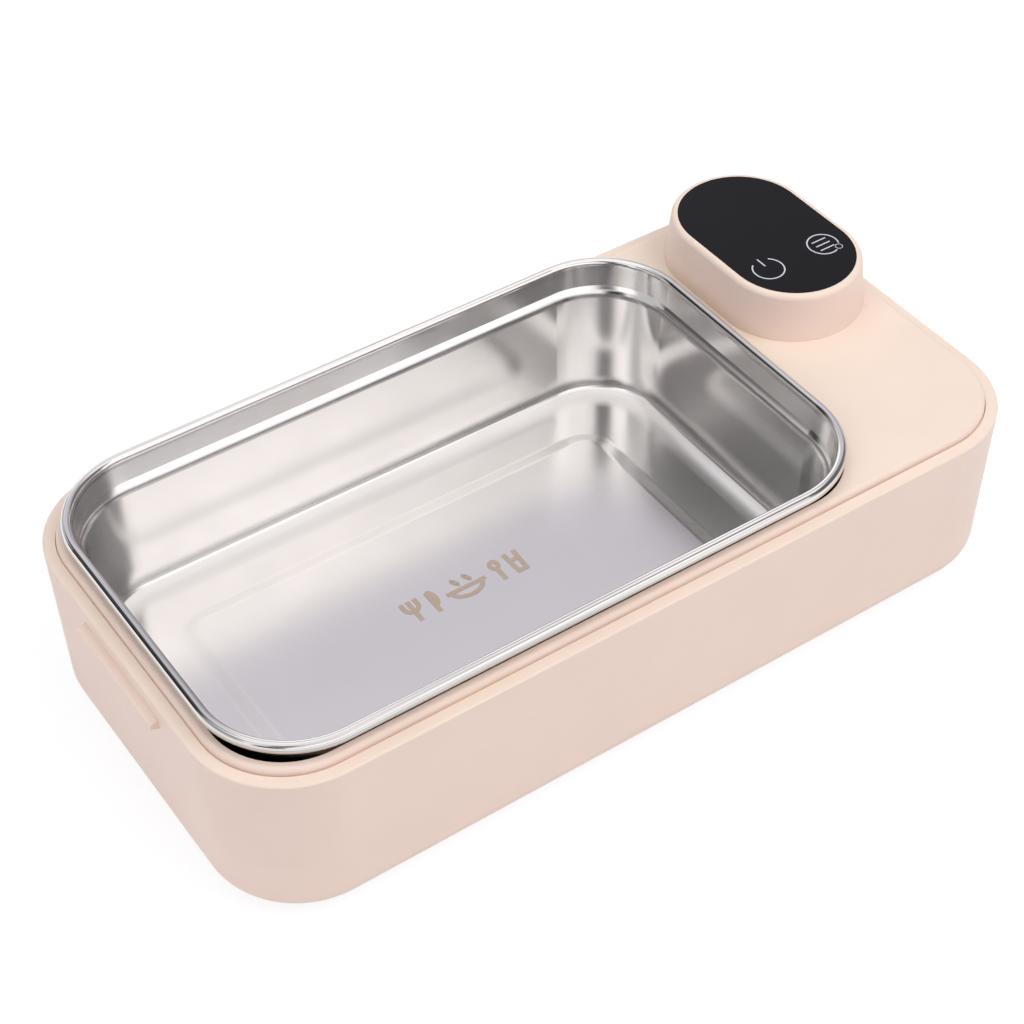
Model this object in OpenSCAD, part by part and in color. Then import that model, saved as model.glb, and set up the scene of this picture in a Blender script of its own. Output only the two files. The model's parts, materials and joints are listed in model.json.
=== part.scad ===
// Electric lunch box: a heated body with a touch panel on a raised pod, and a lift-out steel tray.
// X runs along the length, with the pod towards +X. Y runs across, with the front at -Y. Z is up.
// The origin is on the table, under the middle of the box.

/* [Body] */
// Length of the body at its ledge
body_l = 240; // [218:1:262]
// Width of the body at its ledge
body_w = 122; // [112:1:134]
// Height of the ledge above the table
body_h = 50.4; // [49.5:0.1:56]
// Corner radius of the body at its ledge
body_r = 26.6; // [25.6:0.2:29]
// How far each wall leans in from the ledge down to the foot
wall_lean = 1.3; // [0.8:0.1:1.6]
// Thickness of the outer wall and floor
wall = 2.4; // [2:0.1:2.6]
// Radius round the foot edge
foot_edge_r = 6.6; // [5:0.2:7.4]
// Width of the flat ledge round the deck
ledge_w = 3.2; // [2.8:0.1:3.4]
// Radius on the outer edge of the ledge
ledge_edge_r = 0.6; // [0.3:0.1:1]
// Depth of the rebate that the deck and the well flange drop into
rebate_d = 3.6; // [3.4:0.1:5]
// Width of the shelf at the foot of the rebate
shelf_w = 1.8; // [1.4:0.1:1.9]
// Gap of the parting line between the ledge and the deck
parting_gap = 0.3; // [0.2:0.05:0.5]
// Length of the latch bar on each end wall
catch_l = 38; // [24:1:50]
// How far the latch bar stands out
catch_out = 2.2; // [1.4:0.1:2.6]
// Height of the latch bar where it meets the wall
catch_h = 3; // [2.4:0.1:4]
// Distance of the latch bar below the ledge
catch_drop = 4.6; // [3.6:0.2:7]

/* [Deck] */
// Height of the deck above the ledge
deck_rise = 2; // [1.4:0.1:3]
// Thickness of the deck
deck_t = 2.2; // [1.8:0.1:2.6]
// Radius on the top edge of the deck
deck_edge_r = 1.3; // [0.5:0.1:1.5]
// Distance from the -X end of the body to the opening
opening_end = 6; // [5.8:0.1:7]
// Distance from each side of the body to the opening
opening_side = 5.9; // [5.7:0.1:6.4]
// Length of the bay between the opening and the +X end of the body
bay_l = 51.6; // [51.2:0.2:56]
// Corner radius of the opening
opening_r = 20.3; // [18:0.1:21.5]
// Outer diameter of the screw posts under the deck
post_d = 6.4; // [6:0.2:7]

/* [Pod] */
// Distance from the +X end of the body to the pod's middle
pod_end = 24.2; // [24.2:0.1:25.6]
// Distance from the back of the body to the pod's middle
pod_back = 35.9; // [35.9:0.1:39]
// Width of the pod at its base, along X
pod_w = 42.4; // [41.6:0.1:42.4]
// Length of the pod at its base, along Y
pod_l = 64; // [60:0.2:64]
// Height of the pod above the deck
pod_h = 14.2; // [12:0.2:20]
// How far the pod's wall leans in over its height
pod_lean = 1.5; // [0.8:0.1:2]
// Radius on the top edge of the pod
pod_edge_r = 1.6; // [1:0.1:2]
// Wall thickness of the pod
pod_wall = 2; // [1.6:0.1:2.2]
// Width of the black panel
panel_w = 35.6; // [34:0.2:36]
// Thickness of the black panel
panel_t = 1.5; // [1.2:0.1:2]
// Thickness of the sticky ring under the panel
tape_t = 0.2; // [0.15:0.05:0.4]
// Gap round the panel
panel_gap = 0.12; // [0.08:0.02:0.25]
// Width of the lip that carries the panel
lip_w = 2.6; // [2:0.1:3]

/* [Panel marks] */
// Diameter of the printed rings
ring_d = 9.2; // [8:0.2:10]
// Stroke width of the printed marks
stroke_w = 0.4; // [0.4:0.05:0.7]
// Depth of the ink in the panel
ink_t = 0.1; // [0.05:0.05:0.3]
// Distance from the pod's middle out to each ring along X
ring_dx = 9.6; // [8.6:0.1:10.4]
// Distance from the pod's middle to the rings, towards the front
ring_dy = 12.9; // [10:0.1:14]

/* [Tray] */
// How far the middle of the rim lies outside the opening at its ends
rim_over_end = 0.15; // [0:0.05:0.3]
// How far the middle of the rim lies outside the opening at its sides
rim_over_side = 0.65; // [0.4:0.05:0.8]
// Corner radius of the tray at the middle of its rim
tray_r = 24.5; // [23.4:0.1:26]
// Sheet thickness of the tray
sheet_t = 0.6; // [0.5:0.05:0.8]
// Height of the rim's middle above the ledge
rim_z = 6; // [5.4:0.1:7]
// Radius of the rolled rim
rim_r = 1.4; // [1.2:0.05:1.5]
// How much taller than round the rim is
rim_extra = 0.6; // [0.2:0.1:1]
// Depth of the tray's floor below the ledge
tray_depth = 37.4; // [36.6:0.1:38.4]
// Radius of the gentle rise from the floor towards the wall
rise_r = 14.5; // [10:0.5:18]
// Slope that the rise has reached at the wall, in degrees
rise_angle = 24; // [16:1:30]
// Small radius between the rise and the wall
tray_foot_r = 1.8; // [1.2:0.1:3]
// Distance from the middle of the rim to the raised pad at its ends
pad_end = 22.85; // [19:0.05:30]
// Distance from the middle of the rim to the raised pad at its sides
pad_side = 19.75; // [17.5:0.05:25]
// Corner radius of the raised pad
pad_r = 9; // [8:0.5:14]
// Height of the raised pad
pad_d = 0.8; // [0.4:0.1:1]
// Width of the pad's soft edge
pad_slope = 4; // [3:0.5:5]
// How far the tray lifts out
lift = 62; // [60:1:80]

/* [Heating] */
// Sheet thickness of the heating well
well_t = 0.8; // [0.6:0.1:0.9]
// Thickness of the seal between the well and the deck
seal_t = 1.2; // [0.8:0.1:1.4]
// Distance from the opening to the heating plate at its ends
heater_end = 16.2; // [13.4:0.1:26]
// Distance from the opening to the heating plate at its sides
heater_side = 17.1; // [15.3:0.1:24]
// Thickness of the heating plate
heater_t = 1; // [0.8:0.1:1.2]
// Thickness of the felt under the heating plate
felt_t = 1.6; // [1.2:0.1:1.7]
// Thickness of the steel clamp plate
clamp_t = 0.8; // [0.6:0.1:0.9]
// Diameter of the studs under the well
stud_d = 3; // [2.5:0.1:4]
// Diameter of the thermostat's body
thermostat_d = 13; // [11:0.5:15]
// Diameter of the thermal fuse in its sleeve
fuse_d = 5; // [4:0.2:6]
// Diameter of the temperature probe
probe_d = 4; // [3:0.2:5]

/* [Electrics] */
// Length of the power board along X
board_l = 35; // [33:0.5:38]
// Width of the power board along Y
board_w = 64; // [58:0.5:70]
// Thickness of both circuit boards
board_t = 1.6; // [1:0.1:2]
// Height of the power board above the shell's floor
board_lift = 5; // [4:0.1:6]
// Spacing of the inlet's two pins
pin_pitch = 8.6; // [8.2:0.1:9]
// Diameter of the inlet's pins
pin_d = 2.4; // [2.2:0.05:2.5]
// Height of the inlet's middle above the table
inlet_z = 24; // [23:0.2:26]
// Diameter of the wires
wire_d = 1.6; // [1.2:0.1:2]

/* [Feet] */
// How far the feet stand below the shell
foot_h = 1.5; // [1:0.1:2.5]
// Diameter of the feet
foot_d = 12; // [9:0.5:14]
// Depth that the feet sink into the shell
foot_sink = 0.8; // [0.5:0.1:1]

/* [Hidden] */

cream = [0.93, 0.85, 0.79];
black = [0.12, 0.12, 0.14];
steel = [0.75, 0.75, 0.76];
aluminium = [0.22, 0.22, 0.23];
copper = [0.75, 0.45, 0.25];
brass = [0.8, 0.66, 0.36];
board_green = [0.1, 0.32, 0.2];
pale_ink = [0.86, 0.88, 0.96];
grey = [0.45, 0.45, 0.47];
felt_white = [0.85, 0.84, 0.8];
rubber = [0.2, 0.2, 0.2];
red = [0.7, 0.12, 0.1];
blue = [0.15, 0.25, 0.6];
yellow = [0.85, 0.7, 0.15];

$fn = 64;
eps = 0.01;
// how far a cutting shape runs past the face that it cuts
over = 1;
// clearance of a screw shank in the sheet that it passes through
shank_gap = 0.2;
// clearance between a board and the wall beside it
board_gap = 0.4;

// opening, tray and pod, from the body's own sides
opening_l = body_l - opening_end - bay_l;
opening_w = body_w - 2 * opening_side;
tray_x = (opening_end - bay_l) / 2;
tray_l = opening_l + 2 * rim_over_end;
tray_w = opening_w + 2 * rim_over_side;
pad_l = tray_l - 2 * pad_end;
pad_w = tray_w - 2 * pad_side;
pad_cx = pad_l / 2 - pad_r;
pad_cy = pad_w / 2 - pad_r;
pod_x = body_l / 2 - pod_end;
pod_y = body_w / 2 - pod_back;

// outer shell
base_z = foot_h;
floor_z = base_z + wall;
lean_rate = wall_lean / (body_h - base_z);
core_x = body_l / 2 - body_r;
core_y = body_w / 2 - body_r;
rebate_r = body_r - ledge_w;
shelf_z = body_h - rebate_d;
shelf_r = rebate_r - shelf_w;
shelf_t = 2.5;
shelf_slope = 3;
inner_foot_r = foot_edge_r - wall;

// deck
deck_top = body_h + deck_rise;
deck_under = deck_top - deck_t;
deck_r = rebate_r - parting_gap;
// below the parting groove the deck's edge fits the ledge closely
groove_d = 0.4;
deck_fit_gap = 0.1;
groove_z = body_h - groove_d;
deck_fit_r = rebate_r - deck_fit_gap;
skirt_w = 2.6;
bay_x0 = body_l / 2 - bay_l + 3.6;
hole_x = opening_l / 2 - opening_r;
hole_y = opening_w / 2 - opening_r;

// heating well, on the opening's own corner centres
well_gap = 0.2;
well_r = opening_r - well_gap;
well_wall_x = tray_x + hole_x + well_r + well_t;
flange_w = 2.4;
flange_r = well_r + flange_w;
flange_top = shelf_z + well_t;
collar_z = flange_top + seal_t;
// the tray's pad rests on a plateau in the well, and the floor round it stands clear
tray_floor = body_h - tray_depth;
tray_under_gap = 0.3;
plateau_in = 0.5;
plateau_top = tray_floor + pad_d - sheet_t - eps;
well_floor = tray_floor - sheet_t - tray_under_gap;
well_under = well_floor - well_t;
well_foot_r = 4;
heater_z = well_under - heater_t;
felt_z = heater_z - felt_t;
clamp_z = felt_z - clamp_t;
nut_t = 0.8;
nut_d = 9;
well_screw_x = well_wall_x + 5;
well_screw_y = hole_y + 3.2;
well_screw_l = 4.6;
ear_r = 3.4;
heater_l = opening_l - 2 * heater_end;
heater_w = opening_w - 2 * heater_side;
clamp_end = 9.2;
clamp_side = 7.1;
clamp_l = opening_l - 2 * clamp_end;
clamp_w = opening_w - 2 * clamp_side;
stud_in = 5.5;
stud_x = clamp_l / 2 - stud_in;
stud_y = clamp_w / 2 - stud_in;
// corner radius of the stack of plates under the well
plate_r = 12;

// pod
pod_r = pod_w / 2;
pod_half = pod_l / 2 - pod_r;
pod_top = deck_top + pod_h;
pod_plumb = 0.5;
pod_top_r = pod_r - pod_lean;
// the pod's wall stands out over the ledge at the back corner, so its outer foot is undercut
pod_foot_in = 1.4;
pod_foot_gap = 0.15;
pod_foot_r = pod_r - pod_foot_in;
pod_foot_z = body_h + pod_foot_gap;
panel_r = panel_w / 2;
panel_z = pod_top - panel_t;
tape_z = panel_z - tape_t;
tape_in = 0.2;
lip_t = 1.5;
lip_z = tape_z - lip_t;
seat_r = panel_r + panel_gap;
lip_r = seat_r - lip_w;
pod_inner_top = pod_top_r - pod_wall;
pod_inner_foot = pod_r - pod_wall;
control_z = pod_top - 8.6;
control_r = pod_inner_top - board_gap;
boss_h_top = control_z + board_t;
control_boss_r = 2.2;
end_boss_y = pod_half + control_r - 2.6;
side_boss_x = control_r - 2.6;
control_bosses = [[0, end_boss_y], [0, -end_boss_y], [side_boss_x, 3], [-side_boss_x, 3]];

// case screws, from below into the deck's posts
case_head_d = 5.4;
case_head_t = 1.8;
case_shank_d = 3;
case_screw_l = 14;
case_pocket_d = 6.2;
case_pocket_h = 3.2;
case_boss_h = 4;
case_head_z = base_z + case_pocket_h - case_head_t;
case_boss_d = case_pocket_d + 3;

// power board, against the inlet's guide rails
board_x = body_l / 2 - 9.5 - board_l / 2;
board_y = -8;
board_z = floor_z + board_lift;
board_top = board_z + board_t;
board_hole_in = 4;
board_hole_dx = board_l / 2 - board_hole_in;
board_hole_dy = board_w / 2 - board_hole_in;
board_front = board_y - board_w / 2;
board_back = board_y + board_w / 2;
// screw posts round the board, by their distances from the body's end and back and from the board
post_off = post_d / 2 + 0.8;
outer_post_end = 17;
middle_post_end = 36;
inner_post_end = 43;
inner_post_back = 14;
pod_post_dx = 12.2;
pod_post_drop = 11.6;
// x, y and the height that each post reaches
post_ends = [
    [body_l / 2 - outer_post_end, board_front - post_off, deck_under],
    [body_l / 2 - middle_post_end, board_front - post_off, deck_under],
    [body_l / 2 - inner_post_end, body_w / 2 - inner_post_back, deck_under],
    [pod_x + pod_post_dx, board_back + post_off, pod_top - pod_post_drop]
];
standoff_d = 5.4;
small_shank_d = 2.2;
small_head_d = 4.2;
small_head_t = 1.4;
small_screw_l = 4;

// inlet
inlet_face = body_l / 2 - lean_rate * (body_h - inlet_z) - 0.4;
inlet_w = 25;
inlet_h = 16;
inlet_depth = 18;
socket_w = 17.8;
socket_h = 9.2;
socket_d = 13;
inlet_gap = 0.15;
inlet_flange_t = 1.8;
inlet_flange_x = body_l / 2 - 7;
inlet_flange_more = 2;
rail_t = 2;

// sensors on the well's end wall
strap_t = 0.5;
strap_w = 6;
strap_foot = 5;
fuse_z = 37;
fuse_y = 8;
fuse_l = 30;
probe_z = 24;
probe_y = hole_y - 12.8;
probe_l = 26;
thermostat_y = 4.8 - hole_y;
thermostat_z = 36;

// feet
foot_x = body_l / 2 - 26;
foot_y = body_w / 2 - 23;
foot_bevel = 0.5;

// corners of a rounded rectangle, given its corner centres
module at_corners(cx, cy) {
    for (c = [[cx, cy, 0], [-cx, cy, 90], [-cx, -cy, 180], [cx, -cy, 270]])
        translate([c[0], c[1], 0])
            rotate([0, 0, c[2]])
                children();
}

// carries a wall profile round a rounded rectangle: profile x is the distance out from its corner centres
module sweep_round(cx, cy) {
    at_corners(cx, cy)
        rotate_extrude(angle = 90)
            children();
    for (turn = [0, 180])
        rotate([0, 0, turn]) {
            translate([-cx, cy, 0])
                rotate([90, 0, 90])
                    linear_extrude(2 * cx)
                        children();
            translate([cx, cy, 0])
                rotate([90, 0, 0])
                    linear_extrude(2 * cy)
                        children();
        }
}

// flat rounded rectangle, given its corner centres and radius
module round_rect(cx, cy, r) {
    square([2 * (cx + r), 2 * cy], center = true);
    square([2 * cx, 2 * (cy + r)], center = true);
    for (x = [-cx, cx], y = [-cy, cy])
        translate([x, y])
            circle(r);
}

module round_plate(cx, cy, r, z0, z1) {
    translate([0, 0, z0])
        linear_extrude(z1 - z0)
            round_rect(cx, cy, r);
}

// block that fills a swept profile between its corner centres
module core_block(cx, cy, z0, z1) {
    translate([-cx, -cy, z0])
        cube([2 * cx, 2 * cy, z1 - z0]);
}

// flat stadium, long along Y
module stadium(r, half) {
    square([2 * r, 2 * half], center = true);
    for (y = [-half, half])
        translate([0, y])
            circle(r);
}

module stadium_plate(r, half, z0, z1) {
    translate([0, 0, z0])
        linear_extrude(z1 - z0)
            stadium(r, half);
}

// carries a profile round a stadium that is long along Y
module sweep_stadium(half) {
    for (turn = [0, 180])
        rotate([0, 0, turn]) {
            translate([0, half, 0])
                rotate_extrude(angle = 180)
                    children();
            translate([0, half, 0])
                rotate([90, 0, 0])
                    linear_extrude(2 * half)
                        children();
        }
}

module rod(d, z0, z1) {
    translate([0, 0, z0])
        cylinder(d = d, h = z1 - z0, $fn = 32);
}

// leaning wall with a round foot: centre and touching point of the foot's arc
function wall_u(r_top, rate, z_top, z) = r_top - rate * (z_top - z);
function foot_u(r_top, rate, z_top, z_foot, r) =
    wall_u(r_top, rate, z_top, z_foot + r) - r * sqrt(1 + rate * rate);

module foot_profile(r_top, rate, z_top, z_foot, r, uc) {
    lean = atan(rate);
    ut = uc + r * cos(lean);
    zt = z_foot + r - r * sin(lean);
    polygon([[0, z_foot], [uc, z_foot], [ut, zt], [r_top, z_top], [0, z_top]]);
    translate([uc, z_foot + r])
        circle(r);
}

// outer edge of the ledge, rounded
module ledge_cut() {
    difference() {
        translate([body_r - ledge_edge_r, body_h - ledge_edge_r])
            square(2 * ledge_edge_r);
        translate([body_r - ledge_edge_r, body_h - ledge_edge_r])
            circle(ledge_edge_r);
    }
}

shell_foot_u = foot_u(body_r, lean_rate, body_h, base_z, foot_edge_r);

module shell_profile() {
    difference() {
        foot_profile(body_r, lean_rate, body_h, base_z, foot_edge_r, shell_foot_u);
        ledge_cut();
        shell_cavity();
    }
}

module shell_cavity() {
    wall_r = body_r - wall;
    slope_z = shelf_z - shelf_t - shelf_slope;
    foot_profile(
        wall_u(wall_r, lean_rate, body_h, slope_z), lean_rate, slope_z, floor_z, inner_foot_r, shell_foot_u);
    polygon([
        [0, slope_z - eps],
        [wall_u(wall_r, lean_rate, body_h, slope_z), slope_z - eps],
        [shelf_r, shelf_z - shelf_t],
        [shelf_r, shelf_z],
        [rebate_r, shelf_z],
        [rebate_r, body_h + over],
        [0, body_h + over]
    ]);
}

// height of the slope above and below the latch bar's face
catch_slope = 0.75;

// latch bar on an end wall, running along Y
module catch_bar() {
    top = body_h - catch_drop;
    face = body_l / 2 - lean_rate * catch_drop;
    translate([face, catch_l / 2, 0])
        rotate([90, 0, 0])
            linear_extrude(catch_l)
                polygon([
                    [-wall / 2, top],
                    [0, top],
                    [catch_out, top - catch_slope],
                    [catch_out, top - catch_h + catch_slope],
                    [-lean_rate * catch_h, top - catch_h],
                    [-wall / 2, top - catch_h]
                ]);
}

module feet_places() {
    for (x = [-foot_x, foot_x], y = [-foot_y, foot_y])
        translate([x, y, 0])
            children();
}

module post_places() {
    for (p = post_ends)
        translate([p[0], p[1], 0])
            children();
}

module board_hole_places() {
    for (x = [-board_hole_dx, board_hole_dx], y = [-board_hole_dy, board_hole_dy])
        translate([board_x + x, board_y + y, 0])
            children();
}

// guide rails that hold the inlet's flange against the end wall
module inlet_rails() {
    rail_l = body_l / 2 - wall - inlet_flange_x + rail_t;
    inner = inlet_w / 2 + 2 * inlet_gap;
    outer = inlet_w / 2 + inlet_flange_more + inlet_gap + rail_t;
    for (turn = [0, 1])
        mirror([0, turn, 0])
            translate([inlet_flange_x - rail_t, inner, floor_z - eps])
                cube([rail_l, outer - inner, inlet_z + inlet_h / 2 - floor_z]);
}

module inlet_rail_slots() {
    reach = inlet_w / 2 + inlet_flange_more + inlet_gap;
    translate([inlet_flange_x - inlet_gap, -reach, inlet_z - inlet_h / 2 - inlet_flange_more - inlet_gap])
        cube([inlet_flange_t + 2 * inlet_gap, 2 * reach, inlet_h * 2]);
}

nib_l = 14;
nib_h = 1;
nib_out = 0.5;
nib_gap = 0.12;
nib_z = collar_z + nib_gap;

// snap nibs on the deck's edge, and their slots in the ledge's inner wall
module nib_places() {
    nib_dx = opening_l / 6;
    for (x = [tray_x - nib_dx, tray_x + nib_dx], turn = [0, 180])
        translate([x, 0, 0])
            rotate([0, 0, turn])
                translate([0, core_y + deck_r, 0])
                    children();
    rotate([0, 0, 90])
        translate([0, core_x + deck_r, 0])
            children();
}

module nib(extra) {
    translate([-nib_l / 2 - extra, -over, nib_z - extra])
        cube([nib_l + 2 * extra, over + nib_out + extra, nib_h + 2 * extra]);
}

module outer_shell() {
    color(cream)
        difference() {
            union() {
                sweep_round(core_x, core_y)
                    shell_profile();
                core_block(core_x, core_y, base_z, floor_z);
                for (turn = [0, 180])
                    rotate([0, 0, turn])
                        catch_bar();
                post_places()
                    rod(case_boss_d, floor_z - eps, floor_z + case_boss_h);
                board_hole_places()
                    rod(standoff_d, floor_z - eps, board_z);
                inlet_rails();
            }
            post_places() {
                rod(case_pocket_d, base_z - over, base_z + case_pocket_h);
                rod(case_shank_d + 2 * shank_gap, base_z, floor_z + case_boss_h + over);
            }
            board_hole_places()
                rod(small_shank_d, board_z - small_screw_l, board_z + over);
            feet_places()
                rod(foot_d, base_z - over, base_z + foot_sink);
            translate([body_l / 2 - 2 * wall, -inlet_w / 2 - inlet_gap, inlet_z - inlet_h / 2 - inlet_gap])
                cube([4 * wall, inlet_w + 2 * inlet_gap, inlet_h + 2 * inlet_gap]);
            inlet_rail_slots();
            nib_places()
                nib(nib_gap);
        }
}

module deck_edge_profile() {
    difference() {
        union() {
            translate([0, collar_z])
                square([deck_r, deck_top - collar_z]);
            translate([0, collar_z])
                square([deck_fit_r, groove_z - collar_z]);
        }
        difference() {
            translate([deck_r - deck_edge_r, deck_top - deck_edge_r])
                square(2 * deck_edge_r);
            translate([deck_r - deck_edge_r, deck_top - deck_edge_r])
                circle(deck_edge_r);
        }
        translate([0, collar_z - over])
            square([deck_r - skirt_w, deck_under - collar_z + over]);
    }
}

module pod_profile() {
    wall_top = pod_top - pod_edge_r;
    difference() {
        union() {
            polygon([
                [lip_r, deck_under],
                [pod_foot_r, deck_under],
                [pod_foot_r, pod_foot_z],
                [pod_r, pod_foot_z],
                [pod_r, deck_top + pod_plumb],
                [pod_top_r, wall_top],
                [pod_top_r - pod_edge_r, pod_top],
                [lip_r, pod_top]
            ]);
            translate([pod_top_r - pod_edge_r, wall_top])
                circle(pod_edge_r);
        }
        polygon([
            [0, deck_under - over],
            [pod_inner_foot, deck_under - over],
            [pod_inner_foot, deck_top],
            [pod_inner_top, lip_z],
            [0, lip_z]
        ]);
        translate([0, tape_z])
            square([seat_r, pod_top]);
    }
}

module control_boss_places() {
    for (p = control_bosses)
        translate([pod_x + p[0], pod_y + p[1], 0])
            children();
}

module well_screw_places() {
    for (y = [-well_screw_y, well_screw_y])
        translate([well_screw_x, y, 0])
            children();
}

module top_deck() {
    color(cream)
        difference() {
            union() {
                difference() {
                    union() {
                        sweep_round(core_x, core_y)
                            deck_edge_profile();
                        core_block(core_x, core_y, deck_under, deck_top);
                        translate([tray_x, 0, 0])
                            round_plate(hole_x, hole_y, flange_r, collar_z, deck_under + eps);
                        bay_skirt();
                    }
                    translate([pod_x, pod_y, 0])
                        stadium_plate(pod_inner_foot, pod_half, shelf_z - over, deck_top + over);
                }
                translate([pod_x, pod_y, 0])
                    sweep_stadium(pod_half)
                        pod_profile();
                control_boss_places()
                    rod(2 * control_boss_r, boss_h_top, tape_z);
                deck_posts();
                well_screw_places()
                    rod(2 * ear_r, flange_top, deck_under + eps);
                nib_places()
                    nib(0);
            }
            translate([tray_x, 0, 0])
                round_plate(hole_x, hole_y, opening_r, collar_z - over, deck_top + over);
            control_boss_places()
                rod(small_shank_d, boss_h_top - over, tape_z - over);
            post_places()
                rod(case_shank_d, 0, floor_z + case_boss_h + case_screw_l);
            well_screw_places()
                rod(small_shank_d, 0, deck_top - over);
        }
}

// deep skirt round the electronics bay, standing on the shell's shelf
module bay_skirt() {
    intersection() {
        difference() {
            round_plate(core_x, core_y, deck_r, shelf_z, deck_under + eps);
            round_plate(core_x, core_y, deck_r - skirt_w, shelf_z - over, deck_top);
        }
        translate([bay_x0, -body_w, 0])
            cube([body_l, 2 * body_w, body_h]);
    }
}

// posts down to the shell's bosses, the last one tied to the pod's wall by a web
module deck_posts() {
    for (p = post_ends)
        translate([p[0], p[1], 0])
            rod(post_d, floor_z + case_boss_h, p[2]);
    web_t = 2;
    web_z = deck_under - 10;
    web_lap = 0.5;
    tied = post_ends[3];
    clear_x = core_x + shelf_r - board_gap;
    pod_wall_x = pod_x + pod_inner_foot + web_lap;
    translate([0, tied[1] + web_t / 2, 0])
        rotate([90, 0, 0])
            linear_extrude(web_t)
                polygon([
                    [tied[0], web_z],
                    [clear_x, web_z],
                    [clear_x, shelf_z + web_lap],
                    [pod_wall_x, shelf_z + web_lap],
                    [pod_wall_x, tied[2]],
                    [tied[0], tied[2]]
                ]);
}

module control_panel() {
    color(black)
        translate([pod_x, pod_y, 0])
            difference() {
                stadium_plate(panel_r, pod_half, panel_z, pod_top);
                translate([0, 0, pod_top - ink_t])
                    linear_extrude(1)
                        mark_outlines();
            }
}

// half the angle of the gap in the power ring, and the stroke that stands in it
gap_half_angle = 36;
stroke_l = 3.6;
stroke_in = 3;
// bars and corner dot of the heat ring
bar_l = 4.8;
bar_step = 1.95;
dot_r = 1.1;
dot_gap = 0.5;
dot_angle = -47;

module ring_2d(r, w) {
    difference() {
        circle(r + w / 2);
        circle(r - w / 2);
    }
}

// printed marks: a power ring with its stroke, and a heat ring with three bars and a dot
module mark_outlines() {
    r = ring_d / 2 - stroke_w / 2;
    translate([-ring_dx, -ring_dy]) {
        difference() {
            ring_2d(r, stroke_w);
            polygon([
                [0, 0],
                [-ring_d * tan(gap_half_angle), ring_d],
                [ring_d * tan(gap_half_angle), ring_d]
            ]);
        }
        translate([-stroke_w / 2, r - stroke_in])
            square([stroke_w, stroke_l]);
    }
    translate([ring_dx, -ring_dy]) {
        difference() {
            ring_2d(r, stroke_w);
            rotate([0, 0, dot_angle])
                translate([r, 0])
                    circle(dot_r + dot_gap);
        }
        for (k = [-1, 0, 1])
            translate([-bar_l / 2, k * bar_step - stroke_w / 2])
                square([bar_l, stroke_w]);
        rotate([0, 0, dot_angle])
            translate([r, 0])
                ring_2d(dot_r - stroke_w / 4, stroke_w / 2);
    }
}

module panel_marks() {
    color(pale_ink)
        translate([pod_x, pod_y, pod_top - ink_t])
            linear_extrude(ink_t)
                mark_outlines();
}

module panel_tape() {
    color(grey)
        translate([pod_x, pod_y, 0])
            difference() {
                stadium_plate(panel_r - tape_in, pod_half, tape_z, panel_z);
                stadium_plate(lip_r + tape_in, pod_half, tape_z - over, panel_z + over);
            }
}

module control_board() {
    color(board_green)
        difference() {
            translate([pod_x, pod_y, 0])
                stadium_plate(control_r, pod_half, control_z, boss_h_top);
            control_boss_places()
                rod(small_shank_d + 2 * shank_gap, control_z - over, boss_h_top + over);
        }
}

spring_d = 6;
spring_wire = 0.7;
spring_turns = 4;
spring_pad_t = 0.5;
spring_lap = 0.1;
spring_h = panel_z - boss_h_top;

// coil of wire, swept by twisting a small round
module coil(d, wire, h, turns) {
    linear_extrude(h, twist = -360 * turns, slices = 12 * turns, $fn = 8)
        translate([d / 2 - wire / 2, 0])
            circle(d = wire);
}

module touch_springs() {
    color(steel)
        for (side = [-1, 1])
            translate([pod_x + side * ring_dx, pod_y - ring_dy, boss_h_top]) {
                rod(spring_d, 0, spring_pad_t);
                translate([0, 0, spring_pad_t - spring_lap])
                    coil(spring_d, spring_wire, spring_h - 2 * (spring_pad_t - spring_lap), spring_turns);
                rod(spring_d, spring_h - spring_pad_t, spring_h);
            }
}

// three-digit display that shines through the panel
module display_module() {
    display_w = 22;
    display_d = 9;
    display_y = 14;
    digit_w = 3.8;
    digit_h = 6;
    digit_step = 6.4;
    digit_sink = 0.3;
    face_z = panel_z - 0.2;
    color(grey)
        translate([pod_x, pod_y + display_y, 0])
            difference() {
                translate([-display_w / 2, -display_d / 2, boss_h_top])
                    cube([display_w, display_d, face_z - boss_h_top]);
                for (k = [-1, 0, 1])
                    translate([k * digit_step, 0, face_z - digit_sink])
                        seven_segment(digit_w, digit_h);
            }
}

// outline of one digit's seven bars, sunk a little into the display's face
module seven_segment(w, h) {
    bar = 0.5;
    for (y = [-h / 2, 0, h / 2])
        translate([-w / 2 + bar, y - bar / 2, 0])
            cube([w - 2 * bar, bar, over]);
    for (x = [-w / 2, w / 2], y = [-h / 2 + bar, bar])
        translate([x - bar / 2, y, 0])
            cube([bar, h / 2 - 2 * bar, over]);
}

// screw pointing up, with its head at the bottom at height z
module screw_up(z, head_d, head_t, shank_d, len) {
    rod(shank_d, z + head_t - eps, z + head_t + len);
    difference() {
        rod(head_d, z, z + head_t);
        cross_slot(z - eps, head_d);
    }
}

// screw pointing down, with the underside of its head at height z
module screw_down(z, head_d, head_t, shank_d, len) {
    rod(shank_d, z - len, z + eps);
    difference() {
        rod(head_d, z, z + head_t);
        cross_slot(z + head_t / 2, head_d);
    }
}

module cross_slot(z, head_d) {
    slot_l = head_d * 0.6;
    slot_w = head_d * 0.14;
    for (turn = [0, 90])
        rotate([0, 0, turn])
            translate([-slot_l / 2, -slot_w / 2, z])
                cube([slot_l, slot_w, head_d / 6]);
}

module control_board_screws() {
    color(steel)
        control_boss_places()
            screw_up(control_z - small_head_t, small_head_d, small_head_t, small_shank_d, small_screw_l);
}

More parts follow.
